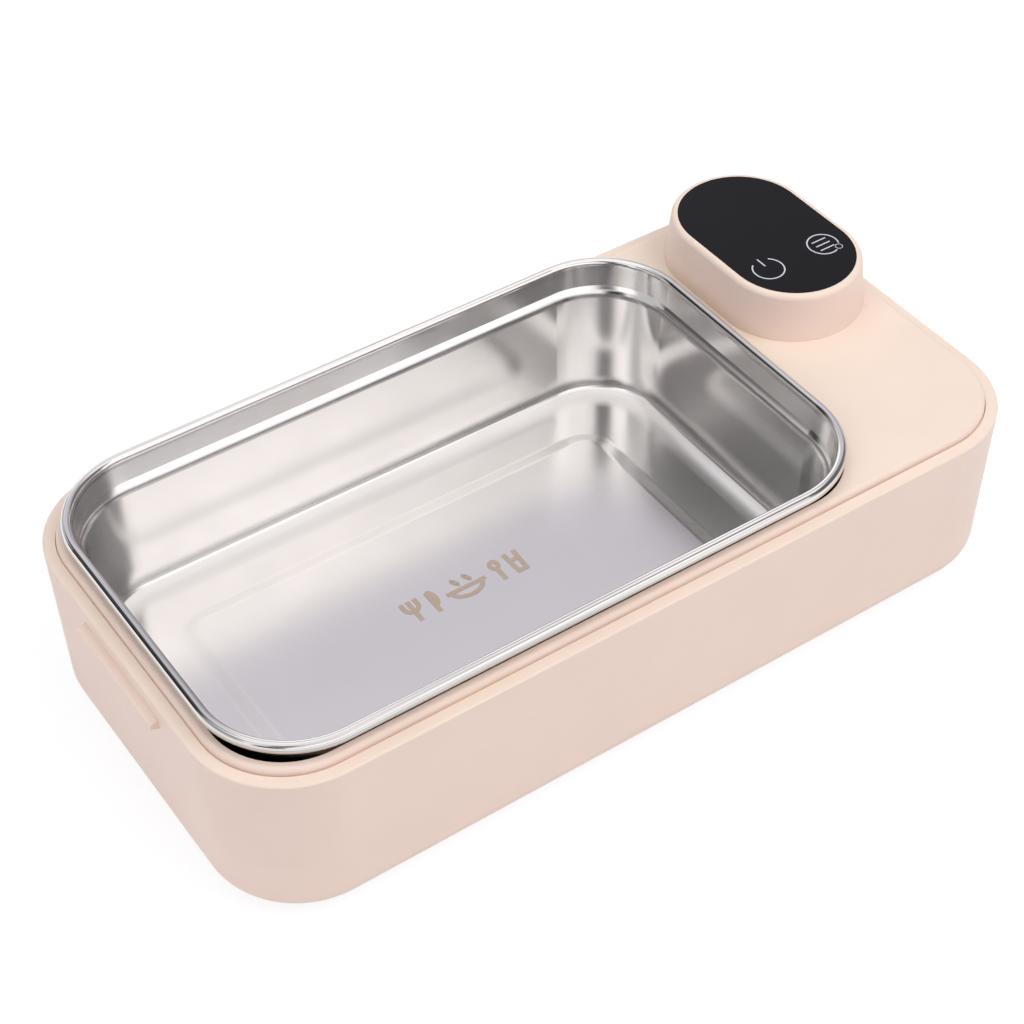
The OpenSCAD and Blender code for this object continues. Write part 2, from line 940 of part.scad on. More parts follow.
module power_board() {
    color(board_green)
        difference() {
            translate([board_x - board_l / 2, board_y - board_w / 2, board_z])
                cube([board_l, board_w, board_t]);
            board_hole_places()
                rod(small_shank_d + 2 * shank_gap, board_z - over, board_top + over);
        }
}

module power_board_screws() {
    color(steel)
        board_hole_places()
            screw_down(board_top, small_head_d, small_head_t, small_shank_d, small_screw_l);
}

module on_board(x, y) {
    translate([board_x + x, board_y + y, board_top])
        children();
}

plug_w = 5.4;
plug_h = 7;
plug_wall = 0.8;
plug_floor = 2;
plug_edge = board_l / 2 - plug_w / 2 - 0.2;
plug_l = 7;
mains_plug_l = pin_pitch + wire_d + 2 * plug_wall + 0.4;
probe_plug_y = -12;
control_plug_y = -9.5;
mains_plug_x = 5;
mains_plug_y = 8;
// plugs for heater, probe, mains and control board: middle x and y on the board, and length along Y
plugs = [
    [-plug_edge, 0, plug_l],
    [-plug_edge, probe_plug_y, plug_l],
    [mains_plug_x, mains_plug_y, mains_plug_l],
    [plug_edge, control_plug_y, plug_l]
];

// sizes and places of the larger parts on the power board, measured in from its edges and screws
part_gap = 0.5;
relay_w = 14.6;
relay_l = 18;
filter_w = 7.6;
filter_l = 11;
bobbin_w = 16.4;
bobbin_l = 17;
core_w = bobbin_w + 1.6;
can_d = 6.3;
fuse_clip_w = 6.2;
fuse_front = fuse_clip_w / 2 + 0.1 - board_w / 2;
relay_x = plug_w / 2 - plug_edge + part_gap + 0.2 + relay_w / 2;
relay_front = fuse_front + fuse_clip_w / 2 + part_gap;
filter_x = relay_x + relay_w / 2 + part_gap + filter_w / 2;
transformer_x = bobbin_w / 2 + 1.1 - board_l / 2;
transformer_back = board_hole_dy - small_head_d / 2 - part_gap;
can_x = transformer_x + core_w / 2 + part_gap + can_d / 2;
can_y = board_hole_dy - 2;

// block standing on the board
module block(w, l, z0, z1) {
    translate([-w / 2, -l / 2, z0])
        cube([w, l, z1 - z0]);
}

// small transformer: a bobbin with its core across the middle
module transformer() {
    bobbin_h = 9;
    core_l = 8;
    core_z = 1;
    core_top = 12;
    color(yellow)
        on_board(transformer_x, transformer_back - bobbin_l / 2) {
            block(bobbin_w, bobbin_l, 0, bobbin_h);
            block(core_w, core_l, core_z, core_top);
        }
}

module relay() {
    relay_h = 15;
    color(blue)
        on_board(relay_x, relay_front + relay_l / 2)
            block(relay_w, relay_l, 0, relay_h);
}

module filter_capacitor() {
    filter_h = 13;
    color(red)
        on_board(filter_x, relay_front + filter_l / 2)
            block(filter_w, filter_l, 0, filter_h);
}

module smoothing_capacitor() {
    can_h = 12;
    rim_h = 0.5;
    rim_in = 0.6;
    color(black)
        on_board(can_x, can_y) {
            rod(can_d, 0, can_h - rim_h);
            rod(can_d - rim_in, 0, can_h);
        }
}

// glass fuse in its two clips
module board_fuse() {
    tube_d = 5;
    tube_l = 18;
    tube_z = tube_d / 2 + 0.6;
    clip_l = 5;
    clip_mouth = 4;
    clip_dx = 6.5;
    color(steel)
        on_board(0, fuse_front)
            for (x = [-clip_dx, clip_dx])
                translate([x, 0, 0])
                    difference() {
                        block(clip_l, fuse_clip_w, 0, tube_d);
                        translate([0, 0, tube_z])
                            lying_rod(tube_d, -clip_l, clip_l);
                        block(clip_l + over, clip_mouth, tube_z, tube_d + over);
                    }
    color(felt_white)
        on_board(0, fuse_front)
            translate([0, 0, tube_z])
                lying_rod(tube_d - 2 * eps, -tube_l / 2, tube_l / 2);
}

module board_connectors() {
    color(felt_white)
        for (p = plugs)
            on_board(p[0], p[1])
                difference() {
                    translate([-plug_w / 2, -p[2] / 2, 0])
                        cube([plug_w, p[2], plug_h]);
                    translate([-plug_w / 2 + plug_wall, -p[2] / 2 + plug_wall, plug_floor])
                        cube([plug_w - 2 * plug_wall, p[2] - 2 * plug_wall, plug_h]);
                }
}

module well_profile() {
    uc = well_r - well_foot_r;
    difference() {
        union() {
            polygon([
                [0, well_under],
                [uc, well_under],
                [well_r + well_t, well_floor + well_foot_r],
                [well_r + well_t, flange_top],
                [0, flange_top]
            ]);
            translate([uc, well_floor + well_foot_r])
                circle(well_foot_r + well_t);
            translate([well_r, shelf_z])
                square([flange_w, well_t]);
        }
        polygon([
            [-over, well_floor],
            [uc, well_floor],
            [well_r, well_floor + well_foot_r],
            [well_r, flange_top + over],
            [-over, flange_top + over]
        ]);
        translate([uc, well_floor + well_foot_r])
            circle(well_foot_r);
    }
}

module stud_places() {
    for (x = [-stud_x, stud_x], y = [-stud_y, stud_y])
        translate([tray_x + x, y, 0])
            children();
}

module heating_well() {
    color(aluminium)
        difference() {
            union() {
                translate([tray_x, 0, 0]) {
                    sweep_round(hole_x, hole_y)
                        well_profile();
                    core_block(hole_x, hole_y, well_under, well_floor);
                    round_plate(
                        pad_cx, pad_cy, pad_r - pad_slope - plateau_in, well_floor - eps, plateau_top);
                }
                well_screw_places() {
                    rod(2 * ear_r, shelf_z, flange_top);
                    translate([well_wall_x - well_screw_x + well_t, -ear_r, shelf_z])
                        cube([well_screw_x - well_wall_x - well_t, 2 * ear_r, well_t]);
                }
                stud_places()
                    rod(stud_d, clamp_z - nut_t, well_under + eps);
            }
            well_screw_places()
                rod(small_shank_d + 2 * shank_gap, shelf_z - over, flange_top + over);
        }
}

module well_seal() {
    color(grey)
        translate([tray_x, 0, 0])
            difference() {
                round_plate(hole_x, hole_y, flange_r - well_gap, flange_top, collar_z);
                round_plate(hole_x, hole_y, opening_r, flange_top - over, collar_z + over);
            }
}

module well_screws() {
    color(steel)
        well_screw_places()
            screw_up(shelf_z - small_head_t, small_head_d, small_head_t, small_shank_d, well_screw_l);
}

module stack_plate(l, w, z0, z1) {
    translate([tray_x, 0, 0])
        round_plate(l / 2 - plate_r, w / 2 - plate_r, plate_r, z0, z1);
}

tab_l = 8;
tab_y = 14;
tab_w = 6.3;

// heating plate with a terminal tab on each side of its end
module heating_element() {
    color(copper) {
        stack_plate(heater_l, heater_w, heater_z, well_under);
        for (side = [-1, 1])
            translate([tray_x + heater_l / 2 - over, side * tab_y - tab_w / 2, heater_z])
                cube([tab_l + over, tab_w, heater_t / 2]);
    }
}

module stud_holes() {
    stud_places()
        rod(stud_d + 2 * shank_gap, 0, well_under + over);
}

module heater_felt() {
    color(felt_white)
        difference() {
            stack_plate(clamp_l, clamp_w, felt_z, heater_z);
            stud_holes();
            felt_notches();
        }
}

// notches that let the terminal tabs' wires past the felt and the clamp plate
module felt_notches() {
    notch_w = tab_w + 2;
    notch_l = 5;
    for (side = [-1, 1])
        translate([tray_x + clamp_l / 2 - notch_l, side * tab_y - notch_w / 2, 0])
            cube([notch_l + over, notch_w, well_under]);
}

module clamp_plate() {
    color(steel)
        difference() {
            stack_plate(clamp_l, clamp_w, clamp_z, felt_z);
            stud_holes();
            felt_notches();
        }
}

module push_nuts() {
    color(steel)
        stud_places()
            difference() {
                rod(nut_d, clamp_z - nut_t, clamp_z);
                rod(stud_d, 0, clamp_z + over);
            }
}

well_face = well_wall_x;

// snap-disc thermostat on the well's end wall, with two blade terminals
module thermostat() {
    flange_t = 1;
    flange_l = 26;
    flange_h = 9;
    hole_d = 3;
    hole_y = 10;
    can_x = 6;
    back_x = 8;
    back_d = 9;
    blade_x = 14;
    blade_y = 2.9;
    blade_w = 4.8;
    blade_t = 0.8;
    translate([well_face, thermostat_y, thermostat_z]) {
        color(black) {
            lying_rod(thermostat_d, flange_t, can_x);
            lying_rod(back_d, can_x - eps, back_x);
        }
        color(steel) {
            difference() {
                translate([0, -flange_l / 2, -flange_h / 2])
                    cube([flange_t + eps, flange_l, flange_h]);
                for (y = [-hole_y, hole_y])
                    translate([0, y, 0])
                        lying_rod(hole_d, -over, flange_t + over);
            }
            for (y = [-blade_y, blade_y])
                translate([can_x, y - blade_t / 2, -blade_w / 2])
                    cube([blade_x - can_x, blade_t, blade_w]);
        }
    }
}

// a round piece lying along Y against the well's end wall
module lying(d, y, z, l) {
    translate([well_face + d / 2, y - l / 2, z])
        rotate([-90, 0, 0])
            cylinder(d = d, h = l, $fn = 32);
}

module thermal_fuse() {
    color(felt_white)
        lying(fuse_d, fuse_y, fuse_z, fuse_l);
}

module temperature_probe() {
    color(steel)
        lying(probe_d, probe_y, probe_z, probe_l);
}

// saddle strap over a lying piece, with a foot on each side
module strap(d, y, z) {
    r = d / 2;
    translate([well_face, y - strap_w / 2, z])
        rotate([-90, 0, 0])
            linear_extrude(strap_w)
                difference() {
                    union() {
                        translate([r, 0])
                            circle(r + strap_t);
                        translate([0, -r - strap_t])
                            square([r, d + 2 * strap_t]);
                        translate([0, -r - strap_foot])
                            square([strap_t, d + 2 * strap_foot]);
                    }
                    translate([r, 0])
                        circle(r);
                    translate([-over, -r])
                        square([r + over, d]);
                    translate([-2 * d, -2 * d])
                        square([2 * d, 4 * d]);
                }
}

module sensor_clips() {
    color(steel) {
        strap(fuse_d, fuse_y, fuse_z);
        strap(probe_d, probe_y, probe_z);
    }
}

module pin_places() {
    for (side = [-1, 1])
        translate([0, side * pin_pitch / 2, inlet_z])
            children();
}

// two-pin inlet with an open socket towards +X
module inlet_socket() {
    lobe_r = socket_h / 2;
    color(black)
        difference() {
            union() {
                translate([inlet_face - inlet_depth, -inlet_w / 2, inlet_z - inlet_h / 2])
                    cube([inlet_depth, inlet_w, inlet_h]);
                translate([
                    inlet_flange_x,
                    -inlet_w / 2 - inlet_flange_more,
                    inlet_z - inlet_h / 2 - inlet_flange_more
                ])
                    cube([inlet_flange_t, inlet_w + 2 * inlet_flange_more, inlet_h + inlet_flange_more]);
            }
            translate([inlet_face - socket_d, 0, inlet_z])
                rotate([90, 0, 90])
                    linear_extrude(socket_d + over) {
                        square([socket_w - socket_h, socket_h], center = true);
                        for (side = [-1, 1])
                            translate([side * (socket_w / 2 - lobe_r), 0])
                                circle(lobe_r);
                    }
            pin_places()
                lying_rod(shank_d, tail_x, inlet_face);
        }
}

pin_tail = 5;
pin_short = 2;
// thinner shank behind each prong, through the back of the socket
shank_d = 1.8;
tail_x = inlet_face - inlet_depth - pin_tail;

// rod along X
module lying_rod(d, x0, x1) {
    translate([x0, 0, 0])
        rotate([0, 90, 0])
            rod(d, 0, x1 - x0);
}

module inlet_pins() {
    color(brass)
        pin_places() {
            tip = inlet_face - pin_short - pin_d / 2;
            lying_rod(shank_d, tail_x, tip);
            lying_rod(pin_d, inlet_face - socket_d, tip);
            translate([tip, 0, 0])
                sphere(d = pin_d, $fn = 32);
        }
}

// wire through a list of points: straight runs with round bends
module wire(points, d) {
    for (k = [0 : 1 : len(points) - 2])
        straight_run(points[k], points[k + 1], d);
    for (k = [1 : 1 : len(points) - 2])
        translate(points[k])
            sphere(d = d, $fn = 24);
}

module straight_run(a, b, d) {
    v = b - a;
    reach = norm(v);
    translate(a)
        rotate([0, acos(v[2] / reach), atan2(v[1], v[0])])
            cylinder(d = d, h = reach, $fn = 24);
}

// foot of a plug's hollow on the power board
function plug_mouth(k) = [board_x + plugs[k][0], board_y + plugs[k][1], board_top + plug_floor];

// height at which wires cross above the plugs
run_z = board_top + plug_h + 2;

module mains_wires() {
    mouth = plug_mouth(2);
    back = tail_x - 1.2;
    for (y = [-pin_pitch / 2, pin_pitch / 2])
        color(y < 0 ? blue : red)
            wire([
                [tail_x, y, inlet_z],
                [back, y, inlet_z],
                [back, y, run_z],
                [mouth[0], y, run_z],
                [mouth[0], y, mouth[2]]
            ], wire_d);
}

// from the heating plate's tabs, under the well's edge and up to the board
module heater_wires() {
    tab_end = tray_x + heater_l / 2 + tab_l;
    mouth = plug_mouth(0);
    low_z = heater_z - wire_d / 2;
    rise_x = well_face + 2;
    for (side = [-1, 1])
        color(red)
            wire([
                [tab_end - wire_d / 2, side * tab_y, low_z],
                [rise_x, side * tab_y, low_z],
                [rise_x, side * tab_y, run_z],
                [rise_x, mouth[1] + side * wire_d, run_z],
                [mouth[0], mouth[1] + side * wire_d, run_z],
                mouth + [0, side * wire_d, 0]
            ], wire_d);
}

control_wire_y = 8;
control_run_z = inlet_z + inlet_h / 2 + 4;

// from the probe and the control board down to the power board
module signal_wires() {
    signal_d = 1;
    signal_step = 1.3;
    probe_end = [well_face + probe_d / 2, probe_y - probe_l / 2, probe_z];
    mouth = plug_mouth(1);
    up = plug_mouth(3);
    color(felt_white) {
        wire([
            probe_end,
            [probe_end[0], mouth[1], probe_z],
            [mouth[0], mouth[1], probe_z],
            mouth
        ], signal_d);
        for (x = [up[0] - signal_step, up[0], up[0] + signal_step])
            wire([
                [x, control_wire_y, control_z],
                [x, control_wire_y, control_run_z],
                [x, up[1], control_run_z],
                [x, up[1], up[2]]
            ], signal_d);
    }
}

module case_screws() {
    color(steel)
        post_places()
            screw_up(case_head_z, case_head_d, case_head_t, case_shank_d, case_screw_l);
}

module rubber_feet() {
    color(rubber)
        feet_places() {
            rod(foot_d, foot_bevel, base_z + foot_sink);
            cylinder(d1 = foot_d - 2 * foot_bevel, d2 = foot_d, h = foot_bevel + eps, $fn = 32);
        }
}

// tray profile heights and insets from the rim's middle
tray_rim_mid = body_h + rim_z;
band_foot = body_h - 0.4;
step_foot = body_h - 3.5;
band_in = 2;
step_in = 3.6;
wall_foot_in = 4.2;
step_u = tray_r - step_in;

// shoulder under the rim's band: centre of the arc through the foot of the band and the top of the wall
shoulder_r = 5;
shoulder_out = step_in - band_in;
shoulder_rise = band_foot - step_foot;
shoulder_chord = norm([shoulder_out, shoulder_rise]);
shoulder_share = sqrt(pow(shoulder_r, 2) - pow(shoulder_chord / 2, 2)) / shoulder_chord;
shoulder_c_u = step_u + shoulder_out / 2 + shoulder_share * shoulder_rise;
shoulder_c_z = step_foot + shoulder_rise / 2 - shoulder_share * shoulder_out;
band_rate = (band_in - rim_r) / (tray_rim_mid - band_foot);
// how far two shapes run into each other where their outlines cross
lap = 0.5;

// centres of the small foot arc and of the gentle rise
foot_c_z = tray_floor + rise_r * (1 - cos(rise_angle)) + tray_foot_r * cos(rise_angle);
wall_rate = (wall_foot_in - step_in) / (step_foot - foot_c_z);
foot_c_u = tray_r - wall_foot_in - tray_foot_r * sqrt(1 + wall_rate * wall_rate);
rise_c_u = foot_c_u - (rise_r - tray_foot_r) * sin(rise_angle);
rise_c_z = tray_floor + rise_r;

// wedge outside a circle, between two angles: it cuts or fills a corner to a round
// the circle is a trace larger than it should be, so that its ends cross the corner's sides
seam = 0.001;

module corner_wedge(c, r, a0, a1, reach) {
    half = (a1 - a0) / 2;
    tip = reach / cos(half);
    translate(c)
        difference() {
            polygon([
                [0, 0],
                [reach * cos(a0), reach * sin(a0)],
                [tip * cos(a0 + half), tip * sin(a0 + half)],
                [reach * cos(a1), reach * sin(a1)]
            ]);
            circle(r + seam);
        }
}

// lower part of the tray's inside, grown outward by t
module tray_bowl(t) {
    wall_top = step_foot + lap;
    difference() {
        intersection() {
            polygon([
                [0, tray_floor - t - over],
                [wall_u(step_u, wall_rate, step_foot, tray_floor - over) + t, tray_floor - t - over],
                [wall_u(step_u, wall_rate, step_foot, wall_top) + t, wall_top],
                [0, wall_top]
            ]);
            union() {
                translate([0, tray_floor - t])
                    square([rise_c_u, rise_r]);
                translate([rise_c_u, rise_c_z - seam])
                    circle(rise_r + t);
                translate([0, rise_c_z - over])
                    square([tray_r, wall_top]);
            }
        }
        corner_wedge(
            [foot_c_u, foot_c_z], tray_foot_r + t, rise_angle - 90, -atan(wall_rate), 2 * (tray_foot_r + t));
    }
}

// inside of the tray, grown outward by t, up to height top
module tray_hollow(t, top) {
    band_low = step_foot - lap;
    tray_bowl(t);
    difference() {
        polygon([
            [0, band_low],
            [tray_r - band_in - band_rate * (band_foot - band_low) + t, band_low],
            [tray_r - rim_r + t, tray_rim_mid],
            [tray_r - rim_r + t, top],
            [0, top]
        ]);
        translate([shoulder_c_u, shoulder_c_z])
            circle(shoulder_r - t);
    }
}

// rolled rim, open at the end of its curl
module rim_section(r) {
    for (z = [-rim_extra / 2, rim_extra / 2])
        translate([tray_r, tray_rim_mid + z])
            circle(r);
    translate([tray_r - r, tray_rim_mid - rim_extra / 2])
        square([2 * r, rim_extra]);
}

module tray_profile() {
    curl_gap = 0.4;
    difference() {
        union() {
            tray_hollow(sheet_t, tray_rim_mid);
            difference() {
                rim_section(rim_r);
                rim_section(rim_r - sheet_t);
                translate([tray_r - rim_r + sheet_t, tray_rim_mid - 2 * rim_r])
                    square([curl_gap, 2 * rim_r - rim_extra / 2]);
            }
        }
        difference() {
            tray_hollow(0, tray_rim_mid + rim_r * 3);
            translate([tray_r - rim_r, tray_rim_mid])
                square(3 * rim_r);
        }
    }
}

// slope of the pad's edge, and the round at its head and foot
edge_angle = atan(pad_d / pad_slope);
edge_r = 6;
edge_ease = edge_r * tan(edge_angle / 2);

// block under the pad's face, standing on height z and reaching down by drop
module pad_body(z, drop) {
    reach = edge_r + drop / 2;
    sweep_round(pad_cx, pad_cy) {
        difference() {
            polygon([
                [0, z - drop],
                [pad_r, z - drop],
                [pad_r, z],
                [pad_r - pad_slope, z + pad_d],
                [0, z + pad_d]
            ]);
            corner_wedge(
                [pad_r - pad_slope - edge_ease, z + pad_d - edge_r], edge_r, 90 - edge_angle, 90, reach);
        }
        corner_wedge([pad_r + edge_ease, z + edge_r], edge_r, -90 - edge_angle, -90, reach);
    }
    core_block(pad_cx, pad_cy, z - drop, z + pad_d);
}

module food_tray() {
    floor_x = tray_l / 2 - tray_r;
    floor_y = tray_w / 2 - tray_r;
    color(steel)
        translate([tray_x, 0, 0])
            difference() {
                union() {
                    sweep_round(floor_x, floor_y)
                        tray_profile();
                    core_block(floor_x, floor_y, tray_floor - sheet_t, tray_floor);
                    pad_body(tray_floor - eps, sheet_t / 2);
                }
                pad_body(tray_floor - sheet_t - eps, over);
            }
}

outer_shell();
top_deck();
control_panel();
panel_marks();
panel_tape();
control_board();
touch_springs();
display_module();
control_board_screws();
power_board();
transformer();
relay();
filter_capacitor();
smoothing_capacitor();
board_fuse();
board_connectors();
power_board_screws();
heating_well();
well_seal();
well_screws();
heating_element();
heater_felt();
clamp_plate();
push_nuts();
thermostat();
thermal_fuse();
temperature_probe();
sensor_clips();
inlet_socket();
inlet_pins();
mains_wires();
heater_wires();
signal_wires();
case_screws();
rubber_feet();
food_tray();
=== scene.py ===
import json
import math

import bmesh
import bpy
from mathutils import Matrix, Vector


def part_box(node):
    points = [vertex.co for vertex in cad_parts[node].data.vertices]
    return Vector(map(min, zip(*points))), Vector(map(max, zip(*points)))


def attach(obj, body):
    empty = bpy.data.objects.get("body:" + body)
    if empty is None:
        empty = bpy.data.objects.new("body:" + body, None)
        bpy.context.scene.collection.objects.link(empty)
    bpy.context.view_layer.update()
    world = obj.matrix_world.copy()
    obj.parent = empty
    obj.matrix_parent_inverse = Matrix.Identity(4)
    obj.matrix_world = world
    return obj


# Electric lunch box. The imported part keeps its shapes. This script adds its materials, the mark etched in
# the tray's floor, a white room with screens for the steel to mirror, three soft lamps, a paper floor and
# the camera. Lengths are in metres.
MM = 0.001

# ---------------------------------------------------------------- frame
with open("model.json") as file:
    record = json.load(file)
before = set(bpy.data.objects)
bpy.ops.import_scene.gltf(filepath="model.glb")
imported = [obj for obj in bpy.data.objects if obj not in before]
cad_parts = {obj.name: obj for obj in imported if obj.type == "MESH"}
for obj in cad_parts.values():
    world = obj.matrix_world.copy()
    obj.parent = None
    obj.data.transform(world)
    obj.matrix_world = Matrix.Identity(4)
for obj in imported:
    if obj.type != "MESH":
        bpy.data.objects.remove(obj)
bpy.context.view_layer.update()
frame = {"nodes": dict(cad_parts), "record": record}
nodes = frame["nodes"]
slot_of = {p["node"]: p["material_slot"] for p in frame["record"]["subparts"]}
tray_low, tray_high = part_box("food_tray")

# ---------------------------------------------------------------- node helpers
# a Mix node's colour sockets share their names with others, so they go by number
MIX_A, MIX_B, MIX_RESULT = 6, 7, 2


class Tree:
    """A node tree that is built by short calls. A value may be plain or the socket of another node."""

    def __init__(self, tree):
        self.tree = tree
        tree.nodes.clear()

    def plug(self, socket, value):
        """Links a socket, or sets a number, a vector or an opaque colour on it."""
        if isinstance(value, bpy.types.NodeSocket):
            self.tree.links.new(value, socket)
        elif socket.type == "RGBA":
            socket.default_value = (*value, 1)
        else:
            socket.default_value = value

    def add(self, kind, settings=None, **inputs):
        """Adds a node. The name of an input has _ for each space."""
        node = self.tree.nodes.new(kind)
        for name, value in (settings or {}).items():
            setattr(node, name, value)
        for name, value in inputs.items():
            self.plug(node.inputs[name.replace("_", " ")], value)
        return node

    def coords(self, scale=(1, 1, 1)):
        """Object coordinates, scaled along each axis."""
        where = self.add("ShaderNodeTexCoord").outputs["Object"]
        return self.add("ShaderNodeMapping", Vector=where, Scale=scale).outputs["Vector"]

    def noise(self, size, detail=3, rough=0.5, stretch=(1, 1, 1)):
        """Noise with features of about that size, drawn out along each axis by stretch."""
        where = self.coords([1 / s for s in stretch])
        node = self.add("ShaderNodeTexNoise", Vector=where, Scale=1 / size, Detail=detail, Roughness=rough)
        return node.outputs["Fac"]

    def remap(self, value, source, result=(0, 1), curve="LINEAR"):
        """Turns the range source into the range result, and holds what lies outside to its ends."""
        ends = {"From_Min": source[0], "From_Max": source[1], "To_Min": result[0], "To_Max": result[1]}
        node = self.add("ShaderNodeMapRange", {"interpolation_type": curve}, Value=value, **ends)
        return node.outputs["Result"]

    def ease(self, value, start, end, result=(0, 1)):
        """Like remap from start to end, with soft ends."""
        return self.remap(value, (start, end), result, "SMOOTHSTEP")

    def mix(self, factor, a, b):
        """Mixes two colours."""
        node = self.add("ShaderNodeMix", {"data_type": "RGBA"}, Factor=factor)
        self.plug(node.inputs[MIX_A], a)
        self.plug(node.inputs[MIX_B], b)
        return node.outputs[MIX_RESULT]

    def math(self, operation, *values):
        node = self.add("ShaderNodeMath", {"operation": operation})
        for socket, value in zip(node.inputs, values):
            self.plug(socket, value)
        return node.outputs["Value"]

    def plus(self, a, b):
        return self.math("ADD", a, b)

    def times(self, a, b):
        return self.math("MULTIPLY", a, b)

    def bump(self, height, distance, strength, under=None):
        """A normal that is raised by height, over the normal under it."""
        node = self.add("ShaderNodeBump", Height=height, Distance=distance, Strength=strength)
        if under is not None:
            self.plug(node.inputs["Normal"], under)
        return node.outputs["Normal"]

    def surface(self, **inputs):
        """Ends a material in a principled shader."""
        self.finish(self.add("ShaderNodeBsdfPrincipled", **inputs).outputs["BSDF"])

    def either(self, factor, a, b):
        """Shader a where factor is 0, and b where it is 1."""
        node = self.add("ShaderNodeMixShader", Fac=factor)
        self.plug(node.inputs[1], a)
        self.plug(node.inputs[2], b)
        return node.outputs["Shader"]

    def rays(self):
        """Whether a ray comes from the camera, and whether it was mirrored or let through."""
        path = self.add("ShaderNodeLightPath").outputs
        shiny = self.math("MAXIMUM", path["Is Glossy Ray"], path["Is Transmission Ray"])
        return path["Is Camera Ray"], shiny

    def finish(self, shader, kind="ShaderNodeOutputMaterial"):
        self.add(kind, Surface=shader)


def srgb(code):
    """Linear colour of a hex code."""
    values = [int(code[k:k + 2], 16) / 255 for k in (0, 2, 4)]
    return tuple(v / 12.92 if v <= 0.04045 else ((v + 0.055) / 1.055) ** 2.4 for v in values)


def grey(level):
    return (level, level, level)


def shade(color, factor):
    """The colour made darker or brighter."""
    return tuple(c * factor for c in color)


def new_material(name, color):
    m = bpy.data.materials.new(name)
    m.use_nodes = True
    m.diffuse_color = (*color, 1)
    return m, Tree(m.node_tree)


# ---------------------------------------------------------------- plastic, metal, rubber, felt and boards
# what most of a noise's values lie between
NOISE_SPAN = (0.3, 0.7)


def around(rough, below, above):
    """A range round a roughness."""
    return (rough - below, rough + above)


def moulded(name, color, rough=0.5):
    """Moulded plastic: spark-eroded grain, slow colour drift, paler rubbed edges."""
    drift, mottle, gloss_patch = 28 * MM, 3.5 * MM, 9 * MM
    grain, grain_depth = 0.35 * MM, 0.012 * MM
    m, t = new_material(name, color)
    tone = t.mix(t.remap(t.noise(drift, 2), (0.35, 0.65)), shade(color, 0.985), shade(color, 1.012))
    tone = t.mix(t.remap(t.noise(mottle, 4), (0.55, 0.75), (0, 0.25)), tone, shade(color, 0.96))
    edge = t.add("ShaderNodeNewGeometry").outputs["Pointiness"]
    tone = t.mix(t.remap(edge, (0.52, 0.6), (0, 0.25)), tone, shade(color, 1.06))
    gloss = t.remap(t.noise(gloss_patch), NOISE_SPAN, around(rough, 0.04, 0.05))
    normal = t.bump(t.noise(grain, 2, 0.6), grain_depth, 0.6)
    t.surface(Base_Color=tone, Roughness=gloss, Normal=normal, Specular_IOR_Level=0.45)
    return m


def metal(name, color, rough=0.25, stretch=(60, 1, 1), depth=0.002 * MM):
    """Drawn or brushed metal: fine lines along one axis, cloudy roughness, faint smears."""
    line, smear = 0.15 * MM, 14 * MM
    m, t = new_material(name, color)
    lines = t.noise(line, 3, 0.6, stretch)
    cloud = t.noise(smear, 4)
    tone = t.mix(t.remap(cloud, (0.35, 0.7)), shade(color, 1.02), shade(color, 0.94))
    gloss = t.remap(lines, NOISE_SPAN, around(rough, 0.03, 0.04))
    gloss = t.plus(gloss, t.remap(cloud, (0.45, 0.75), (0, 0.08)))
    t.surface(Base_Color=tone, Roughness=gloss, Normal=t.bump(lines, depth, 0.5), Metallic=1)
    return m


def rubbery(name, color, rough=0.75):
    """Rubber or wire insulation: dusty bloom over fine texture."""
    bloom, texture, texture_depth = 5 * MM, 0.4 * MM, 0.03 * MM
    m, t = new_material(name, color)
    dust = t.noise(bloom, 5)
    dusty = tuple(c * 0.7 + 0.12 for c in color)
    tone = t.mix(t.remap(dust, (0.4, 0.75), (0, 0.5)), color, dusty)
    gloss = t.remap(dust, NOISE_SPAN, around(rough, 0.06, 0.06))
    normal = t.bump(t.noise(texture), texture_depth, 0.5)
    t.surface(Base_Color=tone, Roughness=gloss, Normal=normal)
    return m


def fibrous(name, color):
    """Felt or woven sleeve: matted threads in two directions."""
    thread, length, thread_depth = 0.5 * MM, 6, 0.25 * MM
    m, t = new_material(name, color)
    along = t.noise(thread, 4, 0.7, (length, 1, 1))
    across = t.noise(thread, 4, 0.7, (1, length, 1))
    threads = t.math("MAXIMUM", along, across)
    tone = t.mix(t.remap(threads, (0.4, 0.75)), shade(color, 0.72), shade(color, 1.05))
    normal = t.bump(threads, thread_depth, 0.7)
    t.surface(Base_Color=tone, Roughness=0.95, Normal=normal, Sheen_Weight=0.3)
    return m


def circuit(name, color):
    """Circuit board: solder mask over blocks of copper track, with pale pads."""
    block, track_depth, gloss_patch = 3.2 * MM, 0.03 * MM, 6 * MM
    pad_color = (0.6, 0.58, 0.5)
    m, t = new_material(name, color)
    flat = t.coords((1, 1, 0))
    cells = t.add("ShaderNodeTexVoronoi", {"distance": "CHEBYCHEV"}, Vector=flat, Scale=1 / block)
    from_middle = cells.outputs["Distance"]
    tracks = t.remap(from_middle, (0.3, 0.42))
    pads = t.remap(from_middle, (0.05, 0.09), (1, 0))
    tone = t.mix(pads, t.mix(tracks, shade(color, 1.5), color), pad_color)
    gloss = t.remap(t.noise(gloss_patch), NOISE_SPAN, (0.3, 0.42))
    t.surface(Base_Color=tone, Roughness=gloss, Normal=t.bump(tracks, track_depth, 0.6))
    return m


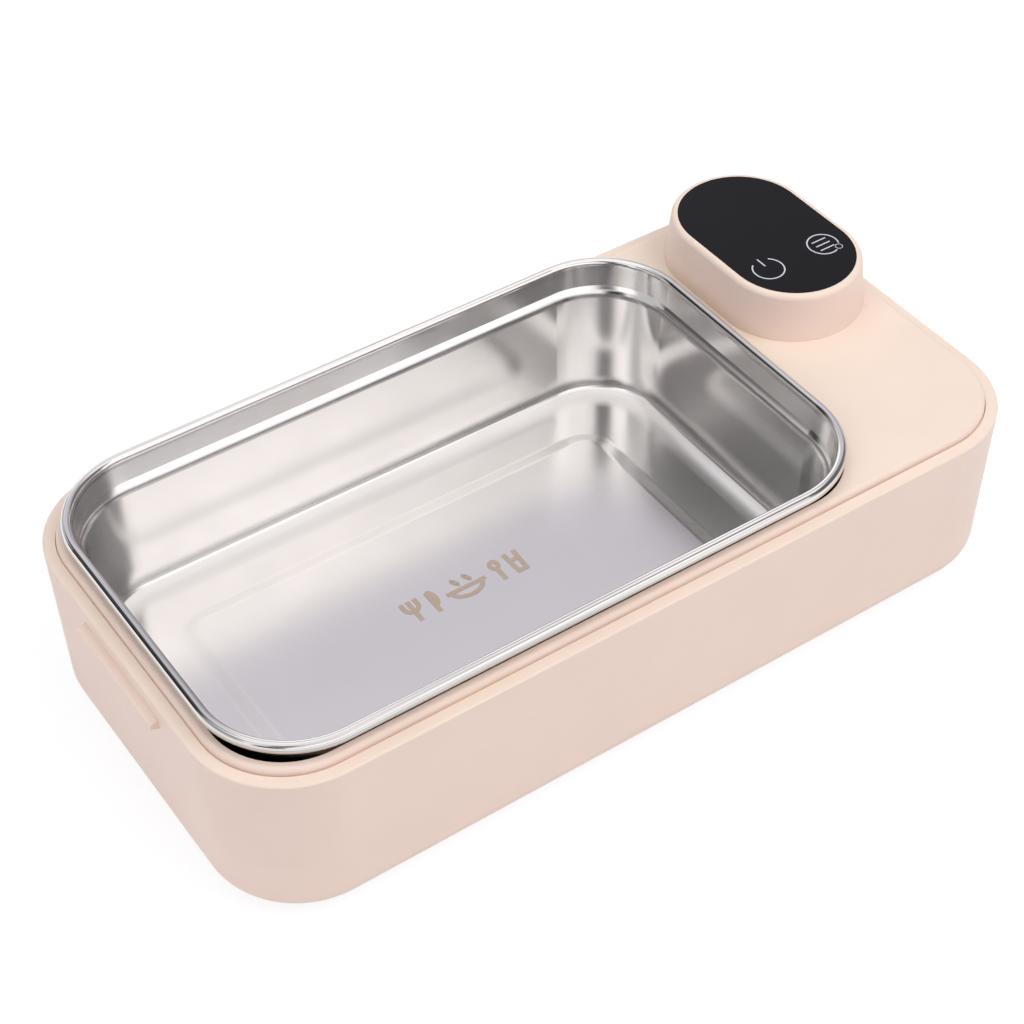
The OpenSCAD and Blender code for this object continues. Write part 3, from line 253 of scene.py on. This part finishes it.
# ---------------------------------------------------------------- panel, marks and tray
def glossy_panel(name, color):
    """Smooth black cover: faint smears in its gloss and a trace of dust."""
    smear, speck, ripple, ripple_depth = 11 * MM, 0.5 * MM, 18 * MM, 0.02 * MM
    dust_color = (0.05, 0.05, 0.055)
    m, t = new_material(name, color)
    tone = t.mix(t.remap(t.noise(speck, 2), (0.68, 0.8), (0, 0.35)), color, dust_color)
    gloss = t.remap(t.noise(smear, 4, 0.55, (1, 2.4, 1)), (0.35, 0.7), (0.2, 0.28))
    normal = t.bump(t.noise(ripple, 1), ripple_depth, 0.3)
    t.surface(Base_Color=tone, Roughness=gloss, Normal=normal, Specular_IOR_Level=0.18)
    return m


def ink(name, color, rough=0.5, speck=0.06 * MM):
    """Thin printed or etched mark, with fine specks."""
    speck_depth = 0.01 * MM
    m, t = new_material(name, color)
    specks = t.noise(speck)
    tone = t.mix(t.remap(specks, (0.35, 0.6)), shade(color, 0.8), shade(color, 1.05))
    t.surface(Base_Color=tone, Roughness=rough, Normal=t.bump(specks, speck_depth, 0.5))
    return m


def tray_steel(name, color):
    """Pressed stainless steel: satin with faint drawing lines, a duller floor, painted dark reflections on
    the rim.
    """
    wall_rough, floor_rough, rim_rough = 0.18, 0.24, 0.13
    patch, fleck, reflection_line_size = 24 * MM, 0.25 * MM, 0.45 * MM
    drawn_line, drawn_depth = 0.12 * MM, 0.0008 * MM
    rolled_line, rolled_depth = 0.1 * MM, 0.0005 * MM
    # the floor's look fades out between these heights over the tray's lowest point
    floor_end, wall_start = 2.2 * MM, 4.5 * MM
    # the rim's look fades in between these depths under the tray's highest point
    wall_end, rim_start = 3.2 * MM, 1.8 * MM
    m, t = new_material(name, color)
    height = t.add("ShaderNodeSeparateXYZ", Vector=t.coords()).outputs["Z"]
    on_floor = t.ease(height, tray_low.z + floor_end, tray_low.z + wall_start, (1, 0))
    on_rim = t.ease(height, tray_high.z - wall_end, tray_high.z - rim_start)
    cloud = t.noise(patch)
    fine = t.noise(fleck, 2)
    tone = t.mix(t.remap(cloud, (0.35, 0.7)), shade(color, 1.01), shade(color, 0.975))
    tone = t.mix(t.remap(fine, (0.6, 0.8), (0, 0.2)), tone, shade(color, 0.9))
    # painted reflection: dark lines in the rim's colour, drawn out so far across that only height changes
    # them, so they run round the rim
    painted_reflection_lines = t.ease(t.noise(reflection_line_size, 2, 0.6, (500, 500, 1)), 0.46, 0.62, (0, 0.75))
    # painted reflection: the rim's colour darkened along these lines
    tone = t.mix(t.times(painted_reflection_lines, on_rim), tone, shade(color, 0.42))
    gloss = t.remap(cloud, NOISE_SPAN, around(wall_rough, 0.012, 0.012))
    gloss = t.plus(gloss, t.times(on_floor, floor_rough - wall_rough))
    gloss = t.plus(gloss, t.times(on_rim, rim_rough - wall_rough))
    gloss = t.plus(gloss, t.remap(fine, (0.4, 0.7), (-0.01, 0.01)))
    normal = t.bump(t.noise(drawn_line, 3, 0.6, (1, 1, 90)), drawn_depth, 0.25)
    normal = t.bump(t.noise(rolled_line, 3, 0.6, (80, 1, 1)), rolled_depth, 0.2, normal)
    t.surface(Base_Color=tone, Roughness=gloss, Normal=normal, Metallic=1)
    return m


CREAM = srgb("F4E0D0")
STEEL = (0.82, 0.81, 0.805)
by_slot = {
    # body and panel
    "cream_shell": moulded("cream_shell", CREAM, 0.46),
    "cream_deck": moulded("cream_deck", CREAM, 0.44),
    "black_panel": glossy_panel("black_panel", (0.003, 0.003, 0.0045)),
    "pale_ink": ink("pale_ink", srgb("DADBE6"), 0.45),
    "grey_foam": rubbery("grey_foam", (0.16, 0.16, 0.17), 0.9),
    "rubber": rubbery("rubber", (0.025, 0.025, 0.026), 0.8),
    # tray and heating
    "tray_steel": tray_steel("tray_steel", STEEL),
    "dark_aluminium": metal("dark_aluminium", (0.05, 0.032, 0.026), 0.5, depth=0.004 * MM),
    "silicone_seal": rubbery("silicone_seal", (0.12, 0.12, 0.125), 0.6),
    "heater_copper": metal("heater_copper", (0.7, 0.36, 0.2), 0.35),
    "felt": fibrous("felt", (0.7, 0.68, 0.62)),
    "clamp_steel": metal("clamp_steel", (0.6, 0.6, 0.6), 0.3),
    "glass_sleeve": fibrous("glass_sleeve", (0.7, 0.67, 0.58)),
    # boards and what stands on them
    "board": circuit("board", (0.02, 0.12, 0.06)),
    "display_grey": moulded("display_grey", (0.12, 0.12, 0.13)),
    "yellow_tape": moulded("yellow_tape", (0.72, 0.48, 0.04), 0.35),
    "blue_case": moulded("blue_case", (0.02, 0.06, 0.32), 0.4),
    "red_case": moulded("red_case", (0.4, 0.03, 0.02), 0.4),
    "black_sleeve": moulded("black_sleeve", (0.02, 0.02, 0.022), 0.45),
    "fuse_glass": metal("fuse_glass", (0.7, 0.7, 0.68)),
    "white_plug": moulded("white_plug", (0.72, 0.7, 0.62)),
    # springs, screws, inlet and wires
    "spring_steel": metal("spring_steel", STEEL, 0.22),
    "screw_steel": metal("screw_steel", (0.62, 0.62, 0.64), 0.3, stretch=(1, 1, 1)),
    "black_inlet": moulded("black_inlet", (0.018, 0.018, 0.02), 0.4),
    "brass_pins": metal("brass_pins", (0.74, 0.55, 0.24), 0.2),
    "blue_wire": rubbery("blue_wire", (0.03, 0.08, 0.35), 0.5),
    "red_wire": rubbery("red_wire", (0.42, 0.02, 0.015), 0.5),
    "white_wire": rubbery("white_wire", (0.7, 0.69, 0.65), 0.5),
}
for name, node in nodes.items():
    node.data.materials.clear()
    node.data.materials.append(by_slot[slot_of[name]])

# ---------------------------------------------------------------- etched mark on the tray's floor
# A plain row of signs for food. A sign is a list of strokes, in millimetres from its own middle, and it
# reaches as far up and down as REACH says.
REACH = 4


def arc(x, y, across, up, start, end, count=20):
    """Points of an ellipse round x, y, from start to end in degrees."""
    angles = [math.radians(start + (end - start) * k / count) for k in range(count + 1)]
    return [(x + across * math.cos(a), y + up * math.sin(a)) for a in angles]


def steam(x):
    """A line that rises and swings to both sides."""
    foot, swing, count = 1.4, 0.4, 16
    steps = [k / count for k in range(count + 1)]
    return [(x + swing * math.sin(2 * math.pi * s), foot + (REACH - foot) * s) for s in steps]


def fork():
    """The handle with the middle tine, the root, and the tines at both sides."""
    side, root, tine_foot = 2.1, 1.9, 1.8
    tines = [[(x, tine_foot), (x, REACH)] for x in (-side, side)]
    return [[(0, -REACH), (0, REACH)], arc(0, root, side, side, 180, 360), *tines]


def knife():
    """The back, and the bulge of the blade."""
    middle, across, up = 1.2, 1.5, 2.6
    return [[(0, -REACH), (0, REACH)], arc(0, middle, across, up, 270, 450)]


def bowl():
    """The bowl, its rim and two lines of steam."""
    across, deep, rim, rim_half, steam_x = 4.8, 3.2, -0.2, 6.2, 1.9
    under = arc(0, rim, across, deep, 180, 360)
    return [under, [(-rim_half, rim), (rim_half, rim)], steam(-steam_x), steam(steam_x)]


def spoon():
    """The handle, and an ellipse."""
    neck, middle, across, up = 1, 2.2, 1.1, 1.4
    return [[(0, -REACH), (0, neck)], arc(0, middle, across, up, 0, 360, 28)]


def cup():
    """The left side, the saucer, the right side and the line of the drink."""
    top, foot, foot_y = 1.6, 1.2, -3.6
    saucer, saucer_y, drink_y = 1.8, -3.4, 1
    left, right = ([(side * foot, foot_y), (side * top, REACH)] for side in (-1, 1))
    return [left, [(-saucer, saucer_y), (saucer, saucer_y)], right, [(-top, drink_y), (top, drink_y)]]


# each sign, and where its middle stands along the row
ROW = ((fork, -16.2), (knife, -10.4), (bowl, 0), (spoon, 10.4), (cup, 16.2))
# from the tray's middle to the row's
MARK_DX, MARK_DY = 2.5 * MM, 2.6 * MM
# width and thickness of a stroke, and how much thicker each one is than the one before
MARK_STROKE, MARK_T, MARK_STEP = 1.4 * MM, 0.02 * MM, 0.002 * MM
# the tray's sheet and the height of the pad in its floor, as in the part's source
SHEET_T = 0.6 * MM
PAD_D = 0.8 * MM


def stroke_mesh(bm, points, width, z, thick):
    """A flat closed ribbon of even width along the points."""
    rows = []
    for k, point in enumerate(points):
        ahead = Vector(points[min(k + 1, len(points) - 1)])
        back = Vector(points[max(k - 1, 0)])
        side = (ahead - back).normalized().orthogonal() * width / 2
        here = Vector(point)
        corners = (here + side, here - side)
        rows.append([bm.verts.new((c.x, c.y, height)) for height in (z, z + thick) for c in corners])
    for a, b in zip(rows, rows[1:]):
        bm.faces.new((a[0], a[1], b[1], b[0]))
        bm.faces.new((a[2], b[2], b[3], a[3]))
        bm.faces.new((a[0], b[0], b[2], a[2]))
        bm.faces.new((a[1], a[3], b[3], b[1]))
    for end in (rows[0], rows[-1]):
        bm.faces.new((end[0], end[2], end[3], end[1]))


def etched_mark(x, y, z):
    """The row of signs as flat ribbons that lie on z, with the row's middle at x, y."""
    strokes = [(stroke, along) for sign, along in ROW for stroke in sign()]
    bm = bmesh.new()
    for k, (stroke, along) in enumerate(strokes):
        placed = [(x + (along + dx) * MM, y + dy * MM) for dx, dy in stroke]
        # tops at their own heights, so that crossings don't flicker
        stroke_mesh(bm, placed, MARK_STROKE, z, MARK_T + k * MARK_STEP)
    bmesh.ops.recalc_face_normals(bm, faces=bm.faces)
    mesh = bpy.data.meshes.new("tray_mark")
    bm.to_mesh(mesh)
    bm.free()
    mark = bpy.data.objects.new("tray_mark", mesh)
    bpy.context.scene.collection.objects.link(mark)
    mark.data.materials.append(ink("etched", srgb("BBA899"), rough=0.6, speck=0.12 * MM))
    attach(mark, "tray")


tray_middle = (tray_low + tray_high) / 2
etched_mark(tray_middle.x + MARK_DX, tray_middle.y + MARK_DY, tray_low.z + SHEET_T + PAD_D)

# ---------------------------------------------------------------- world
# what lights matt surfaces
SKY = (0.44, 0.4, 0.47)

# What steel and gloss mirror: a white room with screens and dark flags. Each has its turn from +X, its
# half width and its low and high edges in degrees, then its brightness and its tint. It covers those
# before it, and its edges are soft over about as many degrees as SOFT_EDGE says.
ROOM = (1.17, 1.13, 1.11)
SOFT_EDGE = 6
WARM = (1.03, 0.985, 0.97)
NEUTRAL = (1.0, 1.0, 1.0)
LAVENDER = (1.0, 0.96, 1.06)
SCREENS = (
    # walls all round but for a narrow slot at -X, under a brighter ceiling
    (0, 180, -20, 58, 0.82, NEUTRAL),
    # white screens at the front, the right one brighter
    (-82, 28, 10, 60, 1.32, WARM),
    (-63, 11, 26, 50, 1.52, WARM),
    # dark flag at the front right
    (-16, 36, 4, 50, 0.2, WARM),
    # grey screens behind the pod, with a low white strip beside the lower one
    (62, 42, 33, 56, 0.67, LAVENDER),
    (36, 16, 4, 33, 0.4, LAVENDER),
    (69, 14, 8, 31, 1.39, NEUTRAL),
    # dark flags at the back left, over a grey wall with a black end
    (124, 21, 50, 66, 0.42, NEUTRAL),
    (123, 20, 28, 50, 0.05, NEUTRAL),
    (108, 19, 4, 28, 0.51, NEUTRAL),
    (136, 8, 4, 30, 0.01, NEUTRAL),
    # grey screen at the left, with a narrow white one in front of it
    (170, 22, 0, 48, 0.6, NEUTRAL),
    (-163, 10, 26, 50, 1.5, WARM),
    # dark flags at the front left
    (-145, 13, 2, 26, 0.03, WARM),
    (-134, 11, 30, 52, 0.12, WARM),
)


def screen_mask(t, x, y, rise, center, half, low, high):
    """Soft-edged patch of the room. x, y is the level direction and rise the height in degrees."""
    turn = math.radians(center)
    facing = t.plus(t.times(x, math.cos(turn)), t.times(y, math.sin(turn)))
    outer, inner = (math.cos(math.radians(half + s * SOFT_EDGE)) for s in (1, -1))
    across = t.ease(facing, outer, inner)
    above = t.ease(rise, low - SOFT_EDGE / 2, low + SOFT_EDGE / 2)
    below = t.ease(rise, high - SOFT_EDGE / 2, high + SOFT_EDGE / 2, (1, 0))
    return t.times(across, t.times(above, below))


def mirrored_room(t):
    """The room's colour in the direction of the ray."""
    toward = t.add("ShaderNodeSeparateXYZ", Vector=t.add("ShaderNodeTexCoord").outputs["Generated"])
    x, y, z = (toward.outputs[axis] for axis in "XYZ")
    level = t.math("SQRT", t.plus(t.times(x, x), t.times(y, y)))
    rise = t.math("DEGREES", t.math("ARCTAN2", z, level))
    x, y = t.math("DIVIDE", x, level), t.math("DIVIDE", y, level)
    color = ROOM
    for center, half, low, high, brightness, tint in SCREENS:
        mask = screen_mask(t, x, y, rise, center, half, low, high)
        color = t.mix(mask, color, shade(tint, brightness))
    return color


def build_world():
    """Sky for matt surfaces, the room for steel and gloss, and plain white behind the part."""
    world = bpy.data.worlds.new("studio")
    bpy.context.scene.world = world
    world.use_nodes = True
    t = Tree(world.node_tree)
    from_camera, shiny = t.rays()
    sky, room, white = (
        t.add("ShaderNodeBackground", Color=color).outputs["Background"]
        for color in (SKY, mirrored_room(t), grey(1))
    )
    t.finish(t.either(from_camera, t.either(shiny, sky, room), white), "ShaderNodeOutputWorld")


build_world()

# ---------------------------------------------------------------- lamps
# soft lamps that aim at the origin and that steel doesn't mirror: name, place, size, watts and colour
LAMPS = (
    ("key", (0.5, -0.7, 1.2), (1.0, 0.8), 8.6, (1, 0.98, 0.95)),
    ("top", (-0.1, 0.2, 1.5), (1.4, 1.4), 7, (0.78, 1, 0.84)),
    ("left", (-1.2, -0.3, 0.8), (1.0, 0.8), 3.9, (1, 0.9, 0.92)),
)


def softbox(name, place, size, power, color):
    data = bpy.data.lights.new(name, "AREA")
    data.shape = "RECTANGLE"
    data.size, data.size_y = size
    data.energy = power
    data.color = color
    lamp = bpy.data.objects.new(name, data)
    lamp.location = place
    lamp.rotation_euler = (-Vector(place)).to_track_quat("-Z", "Y").to_euler()
    lamp.visible_glossy = False
    bpy.context.scene.collection.objects.link(lamp)


for lamp in LAMPS:
    softbox(*lamp)

# ---------------------------------------------------------------- floor
FLOOR_HALF = 6.0
PAPER_FIBRE = 2 * MM
# the paper that the camera and the steel see: its own glow, and a share of light that keeps the shadow
PAPER_GLOW = 0.85
SHADOW_SHARE = 0.2


def paper():
    """White paper that bounces light as paper does, and looks nearly white with a faint shadow."""
    m, t = new_material("floor_paper", grey(0.9))
    tone = t.mix(t.remap(t.noise(PAPER_FIBRE), NOISE_SPAN), grey(0.8), grey(0.82))
    bounce = t.add("ShaderNodeBsdfDiffuse", Color=tone).outputs["BSDF"]
    lit = t.add("ShaderNodeBsdfDiffuse", Color=grey(SHADOW_SHARE)).outputs["BSDF"]
    glow = t.add("ShaderNodeEmission", Color=grey(1), Strength=PAPER_GLOW).outputs["Emission"]
    shown = t.add("ShaderNodeAddShader")
    t.plug(shown.inputs[0], lit)
    t.plug(shown.inputs[1], glow)
    from_camera, shiny = t.rays()
    t.finish(t.either(t.math("MAXIMUM", from_camera, shiny), bounce, shown.outputs["Shader"]))
    return m


def build_floor():
    corners = [(x * FLOOR_HALF, y * FLOOR_HALF, 0) for x, y in ((-1, -1), (1, -1), (1, 1), (-1, 1))]
    mesh = bpy.data.meshes.new("floor")
    mesh.from_pydata(corners, [], [(0, 1, 2, 3)])
    mesh.materials.append(paper())
    floor = bpy.data.objects.new("floor", mesh)
    bpy.context.scene.collection.objects.link(floor)


build_floor()

# ---------------------------------------------------------------- camera
# fitted to the outlines of the body, the tray's rim and the pod in the photo: degrees, and the lens in mm
EYE = (-0.24419, -0.35175, 0.4438)
YAW, PITCH, ROLL = 56.0067, 43.8779, -0.6486
SENSOR = 36.0
LENS = 79.216
CLIP_START = 0.01


def turned(degrees, axis):
    return Matrix.Rotation(math.radians(degrees), 4, axis)


def build_camera():
    data = bpy.data.cameras.new("camera")
    data.sensor_width = SENSOR
    data.lens = LENS
    data.clip_start = CLIP_START
    camera = bpy.data.objects.new("camera", data)
    turn = turned(YAW - 90, "Z") @ turned(90 - PITCH, "X") @ turned(ROLL, "Z")
    camera.matrix_world = Matrix.Translation(EYE) @ turn
    bpy.context.scene.collection.objects.link(camera)
    bpy.context.scene.camera = camera


build_camera()
bpy.context.scene.view_settings.view_transform = "Standard"
